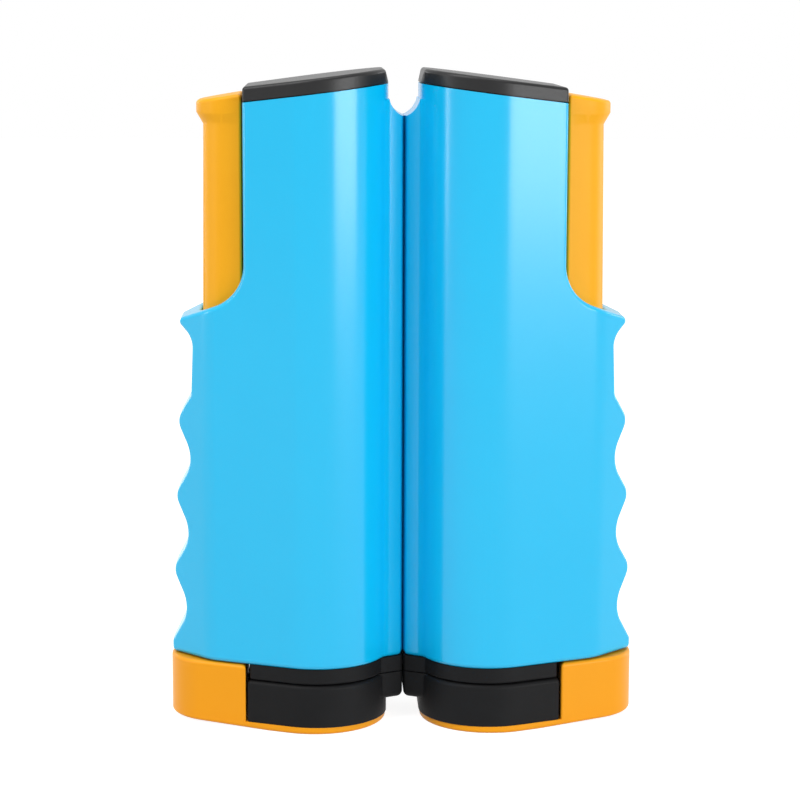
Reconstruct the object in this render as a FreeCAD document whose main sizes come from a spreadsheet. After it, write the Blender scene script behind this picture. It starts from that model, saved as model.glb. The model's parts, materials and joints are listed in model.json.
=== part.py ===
import FreeCAD, Part
import math
import os
import Sketcher

# A retractable table tennis net, closed: two identical posts nose to nose, each with a
# spring clamp below and a net spool inside. Post sizes are given for the right post, X
# outward from the plane where the noses meet; the left post is the same one turned half
# round Z. Z = 0 is the underside of the floor plates.

Vector = FreeCAD.Vector
doc = FreeCAD.newDocument("RetractableNet")
sheet = doc.addObject("Spreadsheet::Sheet", "Sizes")

drivingSizes = {
    # plan of the barrel and the grip
    "halfDepth": 24.0,
    "barrelRadius": 18.7,
    "barrelInner": 4.1,
    "sideAngle": 22.8,
    "barrelEndGap": 0.4,
    "gripLength": 20.2,
    "gripCornerSetback": 10.3,
    "gripCornerRound": 14.0,
    "gripEndHalf": 3.0,
    "gripEndRound": 1.5,
    "gripWall": 2.6,
    "gripEndWall": 2.2,
    "wall": 2.2,
    # nose that carries the net slot
    "noseFace": 0.15,
    "noseSetback": 15.1,
    "noseFlankAngle": 26.5,
    "noseRootDepth": 2.9,
    "noseRound": 1.2,
    "noseRootRound": 4.0,
    "noseWall": 1.9,
    "noseTopDrop": 4.0,
    "shoulderRadius": 6.2,
    "shoulderDrop": 2.6,
    "slotWidth": 3.0,
    "slotTopWall": 6.6,
    # height of the housing, its slanted top and the cap
    "housingHeight": 153.0,
    "topAngle": 7.2,
    "capHeight": 4.0,
    "capRound": 1.0,
    "capEndDraft": 1.1,
    "capCorner": 0.8,
    "plugWall": 0.9,
    "plugDepth": 0.2,
    # side profile of the grip, each place from the one above it
    "bendRadius": 12.0,
    "rimAngle": 22.3,
    "lipSetback": 1.9,
    "lipRise": 90.9,
    "lipRound": 1.4,
    "throatDepth": 4.6,
    "throatDrop": 4.6,
    "throatTopRound": 6.0,
    "throatHeight": 15.3,
    "throatBottomRound": 3.0,
    "ridgeSetback": 2.45,
    "ridgeDrop": 7.2,
    "ridgeRound": 4.8,
    "valleyDepth": 3.7,
    "valleyRound": 10.0,
    "fingerPitch": 20.4,
    "gripLean": 0.038,
    "flankAngle": 27.5,
    "gripEdgeRound": 1.3,
    # handle that slides in the grip
    "handleGap": 0.4,
    "handleRound": 8.0,
    "handleInnerRound": 0.6,
    "handleTopRound": 1.0,
    "handleFootRise": 66.4,
    "handleDraft": 0.5,
    "handleDraftRise": 4.5,
    "handleTopRise": 2.2,
    "handleTopAngle": 9.2,
    "flangeOverhang": 1.3,
    "flangeHeight": 5.0,
    "flangeNeck": 3.0,
    "mouthRound": 0.7,
    "ledgeThickness": 3.0,
    # stem, through screw and return spring
    "stemRadius": 3.7,
    "stemClearance": 0.3,
    "tenonLength": 7.8,
    "tenonFit": 0.05,
    "armScrewRadius": 1.95,
    "armScrewHeadRadius": 3.7,
    "armScrewHeadHeight": 2.6,
    "armScrewRecess": 0.8,
    "armScrewGrip": 24.0,
    "armScrewTip": 0.4,
    "armScrewClearance": 0.1,
    "springRadius": 5.5,
    "springWire": 0.6,
    "springTurns": 9.0,
    "seatGap": 0.2,
    # lower jaw
    "floorThickness": 1.9,
    "floorNoseInset": 0.6,
    "soleLength": 26.5,
    "soleRise": 1.0,
    "blockGap": 0.2,
    "blockOverhang": 0.4,
    "blockTopGap": 0.3,
    "blockEndFlat": 0.3,
    "blockRound": 1.0,
    "blockCorner": 0.5,
    "floorRound": 0.9,
    "padEndGap": 0.5,
    "padThickness": 11.3,
    "padRound": 1.2,
    "padInset": 0.3,
    "padCorner": 0.8,
    "padNoseRise": 4.1,
    "padNoseRound": 1.8,
    "jawGap": 0.3,
    "upperPadThickness": 4.1,
    "upperPadInset": 0.6,
    "upperPadSetback": 1.0,
    "upperPadRound": 0.6,
    # base plate, its screws and the bosses with their ribs
    "plateThickness": 2.4,
    "plateClearance": 0.15,
    "bossInset": 3.6,
    "bossRadius": 2.8,
    "bossHeight": 12.0,
    "bossRib": 1.6,
    "screwRadius": 1.3,
    "screwHeadRadius": 2.5,
    "screwHeadHeight": 1.4,
    "screwLength": 9.0,
    "screwFit": 0.02,
    "screwClearance": 0.2,
    # spool, axle and spring drum
    "axleRadius": 2.0,
    "axleClearance": 0.06,
    "axleFloor": 0.6,
    "coreRadius": 6.0,
    "flangeGap": 1.5,
    "flangeThickness": 1.0,
    "drumWall": 1.2,
    "drumTopDrop": 0.8,
    "coverThickness": 0.6,
    "runningGap": 0.4,
    "arborRadius": 3.6,
    "bandThickness": 0.35,
    "bandTurns": 6.0,
    "bandClearance": 0.15,
    "bandSideGap": 0.3,
    # net
    "rollSetback": 0.4,
    "rollClearance": 0.1,
    "netThickness": 0.6,
    "netBend": 3.2,
    "netClearance": 0.2,
    "netTopGap": 1.0,
    "tapeHeight": 12.0,
    "tapeThickness": 1.0,
    "cordHeight": 2.4,
}
for row, (alias, value) in enumerate(drivingSizes.items(), start=1):
    sheet.set(f"A{row}", alias)
    sheet.set(f"B{row}", str(value))
    sheet.setAlias(f"B{row}", alias)
doc.recompute()


class Size:
    """A number together with the sheet expression that gives it."""

    def __init__(self, value, text):
        self.value = value
        self.text = text

    def __add__(self, other):
        other = asSize(other)
        return Size(self.value + other.value, f"({self.text} + {other.text})")

    def __sub__(self, other):
        other = asSize(other)
        return Size(self.value - other.value, f"({self.text} - {other.text})")

    def __mul__(self, other):
        other = asSize(other)
        return Size(self.value * other.value, f"({self.text} * {other.text})")

    def __truediv__(self, other):
        other = asSize(other)
        return Size(self.value / other.value, f"({self.text} / {other.text})")

    def __rsub__(self, other):
        return asSize(other) - self

    def __rtruediv__(self, other):
        return asSize(other) / self

    def __neg__(self):
        return asSize(0.0) - self

    __radd__ = __add__
    __rmul__ = __mul__


def asSize(number):
    if isinstance(number, Size):
        return number
    return Size(float(number), f"{number:.9f}")


def tan(angle):
    return Size(math.tan(math.radians(angle.value)), f"tan({angle.text})")


def cos(angle):
    return Size(math.cos(math.radians(angle.value)), f"cos({angle.text})")


class Named:
    """The driving sizes by name."""


d = Named()
for alias in drivingSizes:
    setattr(d, alias, Size(float(sheet.get(alias)), f"Sizes.{alias}"))

# Derived places that several pieces share: heights from the floor plate up
padTop = d.floorThickness + d.padThickness
padNoseBottom = d.floorThickness + d.padNoseRise
upperPadBottom = padTop + d.jawGap
housingBottom = upperPadBottom + d.upperPadThickness
blockTop = housingBottom - d.blockTopGap
ledgeTop = housingBottom + d.ledgeThickness
plateTop = housingBottom + d.plateThickness
spoolBottom = plateTop + d.runningGap
topAtNose = housingBottom + d.housingHeight
noseTop = topAtNose - d.noseTopDrop
shoulderHeight = topAtNose - d.shoulderDrop
slotTop = noseTop - d.slotTopWall
netTop = slotTop - d.netTopGap
netBottom = spoolBottom + d.flangeThickness + d.runningGap
drumFloor = netTop + d.runningGap + d.flangeThickness
lipHeight = housingBottom + d.lipRise
throatTop = lipHeight - d.throatDrop
throatBottom = throatTop - d.throatHeight
ridgeHeight = throatBottom - d.ridgeDrop
handleBottom = housingBottom + d.handleFootRise
draftBottom = lipHeight + d.handleDraftRise
armScrewTop = handleBottom + d.armScrewGrip

# Places along X, from the nose outward
noseRoot = d.barrelInner + d.noseRootDepth
centreX = d.barrelInner + d.barrelRadius
centreY = d.halfDepth - d.barrelRadius
noseWidth = d.halfDepth - d.noseSetback
outerWall = centreX + d.barrelRadius + d.barrelEndGap
gripEnd = outerWall + d.gripLength
gripCorner = gripEnd - d.gripCornerSetback
lipReach = gripEnd - d.lipSetback
throatReach = lipReach - d.throatDepth
ridgeReach = gripEnd - d.ridgeSetback
handleInner = outerWall + d.handleGap
handleReach = throatReach - d.gripEndWall - d.handleGap
stemCentre = (handleInner + handleReach) / 2.0
blockFace = outerWall + d.blockGap
blockEnd = gripEnd + d.blockOverhang
soleStart = blockEnd - d.soleLength
padOuter = blockFace - d.padEndGap
upperPadOuter = outerWall - d.upperPadSetback
flangeRadius = d.barrelRadius - d.wall - d.flangeGap
rollRadius = flangeRadius - d.rollSetback
beyond = 40.0
past = 1.0
springSteps = 16
springSides = 6


def sideAt(x):
    """Half width of the plan where the straight side passes x."""
    return centreY + d.barrelRadius / cos(d.sideAngle) - tan(d.sideAngle) * (x - centreX)


def topAt(x):
    """Height of the housing's slanted top edge at x."""
    return topAtNose - tan(d.topAngle) * (x - d.barrelInner)


handleTop = topAt(outerWall) + d.handleTopRise
flangeBottom = handleTop - d.flangeHeight
drumTop = topAt(outerWall) - d.drumTopDrop
bossX = outerWall - d.wall - d.bossInset
bossY = sideAt(bossX) - (d.wall + d.bossInset) / cos(d.sideAngle)


# Corners: each is (x, y, radius). Loops run anticlockwise.
def bothSides(half):
    """A loop from the corners of its far half, from the nose outward."""
    near = [(x, -y, r) for x, y, r in half]
    return near + list(reversed(half))


def barrelHalf(outer, outerRound):
    return [
        (d.barrelInner, sideAt(d.barrelInner), d.barrelRadius),
        (outer, sideAt(outer), outerRound),
    ]


def noseHalf():
    root = noseWidth + tan(d.noseFlankAngle) * (noseRoot - d.noseFace)
    return [(d.noseFace, noseWidth, d.noseRound), (noseRoot, root, 0.0)]


def gripHalf():
    return barrelHalf(gripCorner, d.gripCornerRound) + [(gripEnd, d.gripEndHalf, d.gripEndRound)]


def unit(a, b):
    length = math.hypot(b[0] - a[0], b[1] - a[1])
    return (b[0] - a[0]) / length, (b[1] - a[1]) / length


def directions(corners):
    """Unit vectors into and out of each corner."""
    at = [(asSize(x).value, asSize(y).value) for x, y, r in corners]
    count = len(at)
    return [(unit(at[i - 1], at[i]), unit(at[i], at[(i + 1) % count])) for i in range(count)]


def inset(corners, distance):
    """The same loop moved inward by a distance, or outward where it is negative."""
    moved = []
    distance = asSize(distance)
    for (x, y, r), (before, after) in zip(corners, directions(corners)):
        share = 1.0 + before[0] * after[0] + before[1] * after[1]
        kx = -(before[1] + after[1]) / share
        ky = (before[0] + after[0]) / share
        turn = before[0] * after[1] - before[1] * after[0]
        radius = asSize(r)
        if radius.value > 0.0:
            radius = radius - distance if turn > 0.0 else radius + distance
        moved.append((x + distance * kx, y + distance * ky, radius))
    return moved


def drawLoop(sketch, corners):
    """Lines with tangent arcs at the rounded corners, each end bound to the sheet."""
    ends = []
    for (x, y, r), (before, after) in zip(corners, directions(corners)):
        x, y, r = asSize(x), asSize(y), asSize(r)
        if r.value < 1e-6:
            ends.append((x, y, x, y, None, before, after))
            continue
        cosine = before[0] * after[0] + before[1] * after[1]
        reach = r * math.sqrt((1.0 - cosine) / (1.0 + cosine))
        first = (x - reach * before[0], y - reach * before[1])
        last = (x + reach * after[0], y + reach * after[1])
        ends.append((*first, *last, r, before, after))
    start = sketch.GeometryCount
    count = len(ends)
    for index in range(count):
        x1, y1 = ends[index][2], ends[index][3]
        x2, y2 = ends[(index + 1) % count][0], ends[(index + 1) % count][1]
        a = Vector(x1.value, y1.value, 0)
        b = Vector(x2.value, y2.value, 0)
        sketch.addGeometry(Part.LineSegment(a, b), False)
    for index in range(count):
        following = (index + 1) % count
        bindPoint(sketch, start + index, 1, ends[index][2], ends[index][3])
        if ends[following][4] is None:
            joint = Sketcher.Constraint("Coincident", start + index, 2, start + following, 1)
            sketch.addConstraint(joint)
        else:
            bindPoint(sketch, start + index, 2, ends[following][0], ends[following][1])
    for index in range(count):
        x1, y1, x2, y2, r, before, after = ends[index]
        if r is None:
            continue
        turn = before[0] * after[1] - before[1] * after[0]
        side = 1.0 if turn > 0.0 else -1.0
        cx = x1.value - side * before[1] * r.value
        cy = y1.value + side * before[0] * r.value
        mx = x1.value + x2.value - 2 * cx
        my = y1.value + y2.value - 2 * cy
        scale = r.value / math.hypot(mx, my)
        middle = Vector(cx + mx * scale, cy + my * scale, 0)
        arc = Part.Arc(Vector(x1.value, y1.value, 0), middle, Vector(x2.value, y2.value, 0))
        made = sketch.addGeometry(arc, False)
        # an arc's own start is its anticlockwise one
        first, last = (1, 2) if turn > 0.0 else (2, 1)
        incoming = start + (index - 1) % count
        sketch.addConstraint(Sketcher.Constraint("Coincident", incoming, 2, made, first))
        sketch.addConstraint(Sketcher.Constraint("Coincident", start + index, 1, made, last))
        bind(sketch, Sketcher.Constraint("Radius", made, r.value), r)


def bind(sketch, constraint, size):
    number = sketch.addConstraint(constraint)
    sketch.setExpression(f"Constraints[{number}]", size.text)


def bindPoint(sketch, geometry, point, x, y):
    bind(sketch, Sketcher.Constraint("DistanceX", geometry, point, x.value), x)
    bind(sketch, Sketcher.Constraint("DistanceY", geometry, point, y.value), y)


def drawCircle(sketch, x, y, radius):
    x, y, radius = asSize(x), asSize(y), asSize(radius)
    middle = Vector(x.value, y.value, 0)
    made = sketch.addGeometry(Part.Circle(middle, Vector(0, 0, 1), radius.value), False)
    bindPoint(sketch, made, 3, x, y)
    bind(sketch, Sketcher.Constraint("Radius", made, radius.value), radius)


class Piece:
    """One sub-part: a body whose sketches and features are added in turn."""

    def __init__(self, label):
        self.body = doc.addObject("PartDesign::Body", label)
        self.body.Label = label
        self.label = label

    def sketch(self, name, role="XY_Plane", height=None):
        made = self.body.newObject("Sketcher::SketchObject", f"{self.label}_{name}_sketch")
        plane = next(f for f in self.body.Origin.OriginFeatures if f.Role == role)
        made.AttachmentSupport = [(plane, "")]
        made.MapMode = "FlatFace"
        if height is not None:
            made.setExpression("AttachmentOffset.Base.z", asSize(height).text)
        return made

    def feature(self, kind, name):
        return self.body.newObject(f"PartDesign::{kind}", f"{self.label}_{name}")

    def finish(self, made):
        doc.recompute()
        if made.Shape.isNull() or not made.Shape.isValid() or "Invalid" in made.State:
            raise ValueError(f"{made.Name} has no valid shape")
        return made

    def pad(self, name, loops, height, length, role="XY_Plane"):
        sketch = self.sketch(name, role, height)
        for loop in loops:
            drawShape(sketch, loop)
        made = self.feature("Pad", name)
        made.Profile = sketch
        made.setExpression("Length", asSize(length).text)
        if role != "XY_Plane":
            made.SideType = "Symmetric"
        return self.finish(made)

    def cut(self, name, loops, height, length, role="XY_Plane"):
        """Cuts upward from a height, or both ways from the middle plane."""
        before = self.body.Tip.Shape.Volume
        sketch = self.sketch(name, role, height)
        for loop in loops:
            drawShape(sketch, loop)
        made = self.feature("Pocket", name)
        made.Profile = sketch
        made.setExpression("Length", asSize(length).text)
        if role == "XY_Plane":
            made.Reversed = True
        else:
            made.SideType = "Symmetric"
        self.finish(made)
        if made.Shape.Volume > before - 0.01:
            raise ValueError(f"{made.Name} cuts nothing")
        return made

    def revolve(self, name, loop, axisX):
        """Turns a loop, drawn in radius and height, round an upright axis at axisX."""
        sketch = self.sketch(name, "XZ_Plane")
        sketch.setExpression("AttachmentOffset.Base.x", axisX.text)
        drawLoop(sketch, loop)
        made = self.feature("Revolution", name)
        made.Profile = sketch
        made.ReferenceAxis = (sketch, ["V_Axis"])
        made.Angle = 360.0
        return self.finish(made)

    def loft(self, name, lower, upper):
        """A ruled loft between two loops of as many corners, each given with its height."""
        sketches = []
        for place, (loop, height) in (("Low", lower), ("High", upper)):
            sketch = self.sketch(f"{name}{place}", "XY_Plane", height)
            drawLoop(sketch, loop)
            sketches.append(sketch)
        made = self.feature("AdditiveLoft", name)
        made.Profile = sketches[0]
        made.Sections = sketches[1:]
        made.Ruled = True
        return self.finish(made)

    def roundEdges(self, name, radius, wanted, kind="Fillet"):
        base = self.body.Tip
        names = [f"Edge{i}" for i, e in enumerate(base.Shape.Edges, start=1) if wanted(e)]
        if not names:
            raise ValueError(f"{self.label} {name}: no edge found")
        made = self.feature(kind, name)
        made.Base = (base, names)
        made.setExpression("Radius" if kind == "Fillet" else "Size", asSize(radius).text)
        return self.finish(made)


def drawShape(sketch, shape):
    """A circle is given as (x, y, radius), anything else is a loop of corners."""
    if isinstance(shape, tuple):
        drawCircle(sketch, *shape)
    else:
        drawLoop(sketch, shape)


def near(value, target, within=0.02):
    return abs(value - asSize(target).value) < within


def middleOf(edge):
    return edge.valueAt((edge.FirstParameter + edge.LastParameter) / 2.0)


def rectangle(x1, y1, x2, y2):
    return [(x1, y1, 0.0), (x2, y1, 0.0), (x2, y2, 0.0), (x1, y2, 0.0)]


def gripProfile():
    """What is cut away outside the wall, the rim and the finger grip, seen from the front."""
    far = gripEnd + beyond
    top = topAtNose + beyond
    bendHeight = lipHeight + tan(d.rimAngle) * (lipReach - outerWall)
    throatLow = throatReach + d.gripLean * d.throatHeight
    corners = [
        (outerWall, top, 0.0),
        (outerWall, bendHeight, d.bendRadius),
        (lipReach, lipHeight, d.lipRound),
        (throatReach, throatTop, d.throatTopRound),
        (throatLow, throatBottom, d.throatBottomRound),
    ]
    bulge = 1.0 / cos(d.flankAngle) - 1.0
    for finger in range(3):
        down = d.fingerPitch * finger
        ridge = ridgeReach + d.gripLean * down
        corners.append((ridge + d.ridgeRound * bulge, ridgeHeight - down, d.ridgeRound))
        valley = ridgeReach - d.valleyDepth + d.gripLean * (down + d.fingerPitch)
        place = ridgeHeight - down - d.fingerPitch / 2.0
        corners.append((valley - d.valleyRound * bulge, place, d.valleyRound))
    lastX, lastZ = corners[-1][0], corners[-1][1]
    exitX = gripEnd + past
    exitZ = lastZ - (exitX - lastX) / tan(d.flankAngle)
    corners += [(exitX, exitZ, 0.0), (far, exitZ, 0.0), (far, top, 0.0)]
    return corners


def socketHalf():
    """The handle's way through the grip, wider than the handle by its gap."""
    gap = d.handleGap
    return [
        (outerWall, handleSide(outerWall) + gap, 0.0),
        (handleReach + gap, handleSide(handleReach) + gap, d.handleRound + gap),
    ]


def handleSide(x):
    """Half width of the handle at x, inside the grip's wall."""
    return sideAt(x) - (d.gripWall + d.handleGap) / cos(d.sideAngle)


def sharpOuterEdge(shape, edge):
    """Whether an edge joins the outer skin to the cut grip profile."""
    faces = shape.ancestorsOfType(edge, Part.Face)
    if len(faces) != 2:
        return False
    place = middleOf(edge)
    normals = []
    for face in faces:
        u, v = face.Surface.parameter(place)
        normals.append(face.normalAt(u, v))
    if abs(normals[0].dot(normals[1])) > 0.97:
        return False
    skin = [n for n in normals if abs(n.z) < 0.01 and abs(n.y) > 0.2]
    profile = [n for n in normals if abs(n.y) < 0.01]
    if len(skin) != 1 or len(profile) != 1:
        return False
    return skin[0].y * place.y > 0 and place.x > outerWall.value - 0.1


def mouthEdge(edge):
    """Whether an edge is on the inner rim of the handle's socket."""
    place = middleOf(edge)
    inside = sideAt(asSize(place.x)).value - abs(place.y) > 1.5
    span = edge.BoundBox
    within = outerWall.value + 0.05 < place.x < handleReach.value + 1.0
    return inside and within and place.z > lipHeight.value and span.XLength + span.YLength > 0.2


def housing(side):
    """The moulded shell: barrel, nose with the net slot, and grip tube."""
    piece = Piece(f"{side}_housing")
    height = topAtNose + past - housingBottom
    below = housingBottom - past
    piece.pad("shell", [bothSides(gripHalf())], housingBottom, height)
    piece.pad("nose", [bothSides(noseHalf())], housingBottom, noseTop - housingBottom)
    flankRoot = noseRoot.value

    def rootEdge(edge):
        place = middleOf(edge)
        upright = abs(edge.tangentAt(edge.FirstParameter).z) > 0.99
        return upright and d.barrelInner.value < place.x < flankRoot and abs(place.y) > noseWidth.value

    piece.roundEdges("noseRootRound", d.noseRootRound, rootEdge)
    cavity = inset(bothSides(barrelHalf(outerWall, 0.0)), d.wall)
    piece.cut("cavity", [cavity], below, height + 2.0 * past)
    inner = d.noseFace + d.wall
    throat = noseWidth - d.noseWall
    slotHeight = slotTop - below
    piece.cut("noseHollow", [rectangle(inner, -throat, noseRoot + past, throat)], below, slotHeight)
    half = d.slotWidth / 2.0
    piece.cut("netSlot", [rectangle(d.noseFace - past, -half, inner + past, half)], below, slotHeight)
    ribStart, ribEnd = bossX + d.screwRadius, outerWall - d.wall / 2.0
    for sign in (-1.0, 1.0):
        name = "bossNear" if sign < 0 else "bossFar"
        centre = bossY * sign
        rib = rectangle(ribStart, centre - d.bossRib / 2.0, ribEnd, centre + d.bossRib / 2.0)
        piece.pad(f"{name}Rib", [rib], plateTop + d.seatGap, d.bossHeight)
        piece.pad(name, [(bossX, centre, d.bossRadius)], plateTop + d.seatGap, d.bossHeight)
        piece.cut(f"{name}Hole", [(bossX, centre, d.screwRadius)], plateTop, d.bossHeight - d.wall)
    piece.cut("socket", [bothSides(socketHalf())], ledgeTop, height)
    stemHole = (stemCentre, 0.0, d.stemRadius + d.stemClearance)
    piece.cut("stemHole", [stemHole], below, d.ledgeThickness + 2.0 * past)
    width = d.halfDepth * 3.0
    shoulder = (d.barrelInner - d.shoulderRadius, shoulderHeight, d.shoulderRadius)
    piece.cut("shoulder", [shoulder], None, width, "XZ_Plane")
    piece.cut("gripProfile", [gripProfile()], None, width, "XZ_Plane")
    left, right = d.noseFace - beyond, outerWall + past
    wedge = [
        (left, topAt(left), 0.0),
        (right, topAt(right), 0.0),
        (right, topAt(left), 0.0),
    ]
    piece.cut("slantedTop", [wedge], None, width, "XZ_Plane")
    piece.roundEdges("mouth", d.mouthRound, mouthEdge)
    shape = piece.body.Tip.Shape
    piece.roundEdges("gripEdges", d.gripEdgeRound, lambda edge: sharpOuterEdge(shape, edge))
    return piece


def topCap(side):
    """Black cap on the barrel: slanted both sides, with a plug ring and the spring's arbor below."""
    piece = Piece(f"{side}_top_cap")
    outline = bothSides(barrelHalf(outerWall, d.capCorner))
    low = topAt(outerWall) - d.capHeight
    tall = topAtNose + 2.0 * d.capHeight - low
    width = d.halfDepth * 3.0
    piece.pad("slab", [outline], low, tall)
    left, right = d.barrelInner - past, outerWall + past
    under = [
        (left, low - past, 0.0),
        (right, low - past, 0.0),
        (right, topAt(right), 0.0),
        (left, topAt(left), 0.0),
    ]
    piece.cut("underside", [under], None, width, "XZ_Plane")
    plug = inset(bothSides(barrelHalf(outerWall, 0.0)), d.wall + d.plateClearance)
    ringLow = topAt(outerWall) - d.plugDepth
    ring = [plug, inset(plug, d.plugWall)]
    piece.pad("plug", ring, ringLow, tall)
    piece.pad("arbor", [(centreX, 0.0, d.arborRadius)], drumFloor + d.runningGap, tall)
    piece.cut("axleHole", [(centreX, 0.0, d.axleRadius)], drumFloor, topAt(centreX) - drumFloor)
    high = d.capHeight
    over = [
        (left, topAt(left) + high, 0.0),
        (right, topAt(right) + high, 0.0),
        (right, topAtNose + beyond, 0.0),
        (left, topAtNose + beyond, 0.0),
    ]
    piece.cut("upperFace", [over], None, width, "XZ_Plane")
    corner = topAt(d.barrelInner)
    end = [
        (left, corner, 0.0),
        (d.barrelInner, corner, 0.0),
        (d.barrelInner + d.capEndDraft, corner + high, 0.0),
        (left, corner + high + past, 0.0),
    ]
    piece.cut("endDraft", [end], None, width, "XZ_Plane")

    def topEdge(edge):
        return all(near(v.Z, topAt(asSize(v.X)) + high, 0.01) for v in edge.Vertexes)

    piece.roundEdges("topRound", d.capRound, topEdge)
    return piece


def basePlate(side):
    """Closes the barrel below and carries the axle."""
    piece = Piece(f"{side}_base_plate")
    outline = inset(bothSides(barrelHalf(outerWall, 0.0)), d.wall + d.plateClearance)
    piece.pad("plate", [outline], housingBottom, d.plateThickness)
    inner = d.noseFace + d.wall + d.plateClearance
    throat = noseWidth - d.noseWall - d.plateClearance
    tongue = rectangle(inner, -throat, noseRoot + d.wall, throat)
    piece.pad("tongue", [tongue], housingBottom, d.plateThickness)
    piece.cut("axleHole", [(centreX, 0.0, d.axleRadius)], housingBottom + d.axleFloor, d.plateThickness)
    for sign in (-1.0, 1.0):
        name = "Near" if sign < 0 else "Far"
        place = (bossX, bossY * sign)
        hole = (*place, d.screwRadius + d.screwClearance)
        recess = (*place, d.screwHeadRadius + d.plateClearance)
        below = housingBottom - past
        piece.cut(f"screwHole{name}", [hole], below, d.plateThickness + 2.0 * past)
        piece.cut(f"headHole{name}", [recess], below, d.screwHeadHeight + past)
    return piece


def baseScrews(side):
    """The two screws up through the base plate into the housing's bosses."""
    shapes = []
    made = doc.addObject("Part::Feature", f"{side}_base_screws")
    made.Label = f"{side}_base_screws"
    for sign in (-1.0, 1.0):
        place = Vector(bossX.value, bossY.value * sign, housingBottom.value)
        up = Vector(0, 0, d.screwHeadHeight.value)
        head = Part.makeCylinder(d.screwHeadRadius.value, d.screwHeadHeight.value, place)
        thread = d.screwRadius.value - d.screwFit.value
        shank = Part.makeCylinder(thread, d.screwLength.value, place + up)
        shapes.append(head.fuse(shank).removeSplitter())
    made.Shape = Part.makeCompound(shapes)
    return made


def spoolAxle(side):
    piece = Piece(f"{side}_spool_axle")
    low = housingBottom + d.axleFloor
    piece.pad("rod", [(centreX, 0.0, d.axleRadius)], low, topAt(centreX) - low - d.seatGap)
    return piece


def spool(side):
    """Core tube with two flanges and the spring drum on top, turned about the axle."""
    piece = Piece(f"{side}_spool")
    bore = d.axleRadius + d.axleClearance
    rim = flangeRadius
    corners = [
        (bore, spoolBottom),
        (rim, spoolBottom),
        (rim, spoolBottom + d.flangeThickness),
        (d.coreRadius, spoolBottom + d.flangeThickness),
        (d.coreRadius, drumFloor - d.flangeThickness),
        (rim, drumFloor - d.flangeThickness),
        (rim, drumTop),
        (rim - d.drumWall, drumTop),
        (rim - d.drumWall, drumFloor),
        (bore, drumFloor),
    ]
    piece.revolve("turned", [(x, z, 0.0) for x, z in corners], centreX)
    return piece


def springCover(side):
    """Thin lid that keeps the clock spring in its drum."""
    piece = Piece(f"{side}_spring_cover")
    hole = d.arborRadius + d.runningGap
    piece.pad("disc", [(centreX, 0.0, flangeRadius), (centreX, 0.0, hole)], drumTop, d.coverThickness)
    return piece


def clockSpring(side):
    """Spiral band between the arbor and the drum wall, from half circles about two centres."""
    made = doc.addObject("Part::Feature", f"{side}_clock_spring")
    made.Label = f"{side}_clock_spring"
    gap = d.bandClearance.value
    inner = d.arborRadius.value + gap
    outer = flangeRadius.value - d.drumWall.value - gap - d.bandThickness.value
    halves = int(d.bandTurns.value * 2)
    growth = (outer - inner) / halves
    low = drumFloor.value + d.bandSideGap.value
    high = drumTop.value - d.bandSideGap.value

    def halfCircle(radius, middle, sign):
        start = Vector(middle + sign * radius, 0, low)
        top = Vector(middle, sign * radius, low)
        end = Vector(middle - sign * radius, 0, low)
        return Part.Arc(start, top, end).toShape()

    insideEdges = []
    outsideEdges = []
    radius, middle, sign = inner, 0.0, 1.0
    for _ in range(halves):
        insideEdges.append(halfCircle(radius, middle, sign))
        outsideEdges.append(halfCircle(radius + d.bandThickness.value, middle, sign))
        middle += sign * growth
        radius += growth
        sign = -sign
    ends = [
        Part.makeLine(insideEdges[index].Vertexes[index].Point, outsideEdges[index].Vertexes[index].Point)
        for index in (0, -1)
    ]
    wire = Part.Wire(Part.__sortEdges__(insideEdges + outsideEdges + ends))
    band = Part.Face(wire).extrude(Vector(0, 0, high - low))
    band.translate(Vector(centreX.value, 0, 0))
    made.Shape = band
    return made


def netRoll(side):
    """The net wound on the spool, as one sleeve."""
    piece = Piece(f"{side}_net_roll")
    inner = d.coreRadius + d.rollClearance
    rings = [(centreX, 0.0, rollRadius), (centreX, 0.0, inner)]
    piece.pad("sleeve", rings, netBottom, netTop - netBottom)
    return piece


def upperJawPad(side):
    """Thin rubber pad under the barrel: the fixed jaw."""
    piece = Piece(f"{side}_upper_jaw_pad")
    outline = bothSides(barrelHalf(upperPadOuter + d.upperPadInset, d.padCorner + d.upperPadInset))
    piece.pad("pad", [inset(outline, d.upperPadInset)], upperPadBottom, d.upperPadThickness)
    piece.pad("nosePad", [bothSides(noseHalf())], upperPadBottom, d.upperPadThickness)
    piece.roundEdges("lowerRound", d.upperPadRound, lambda e: barrelEdge(e, upperPadBottom))
    return piece


def onLevel(edge, height):
    return all(near(v.Z, height) for v in edge.Vertexes)


def barrelEdge(edge, height):
    """Whether a level edge belongs to the barrel's outline, not to the nose's."""
    return onLevel(edge, height) and middleOf(edge).x > d.barrelInner.value


def jawPad(side):
    """Thick rubber pad on the floor plate: the moving jaw."""
    piece = Piece(f"{side}_jaw_pad")
    outline = bothSides(barrelHalf(padOuter + d.padInset, d.padCorner + d.padInset))
    piece.pad("pad", [inset(outline, d.padInset)], d.floorThickness, d.padThickness)
    piece.pad("nosePad", [bothSides(noseHalf())], padNoseBottom, padTop - padNoseBottom)

    def lowFront(edge):
        return onLevel(edge, padNoseBottom) and near(middleOf(edge).x, d.noseFace, 0.4)

    piece.roundEdges("noseRound", d.padNoseRound, lowFront)
    piece.roundEdges("upperRound", d.padRound, lambda e: barrelEdge(e, padTop))
    return piece


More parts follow.
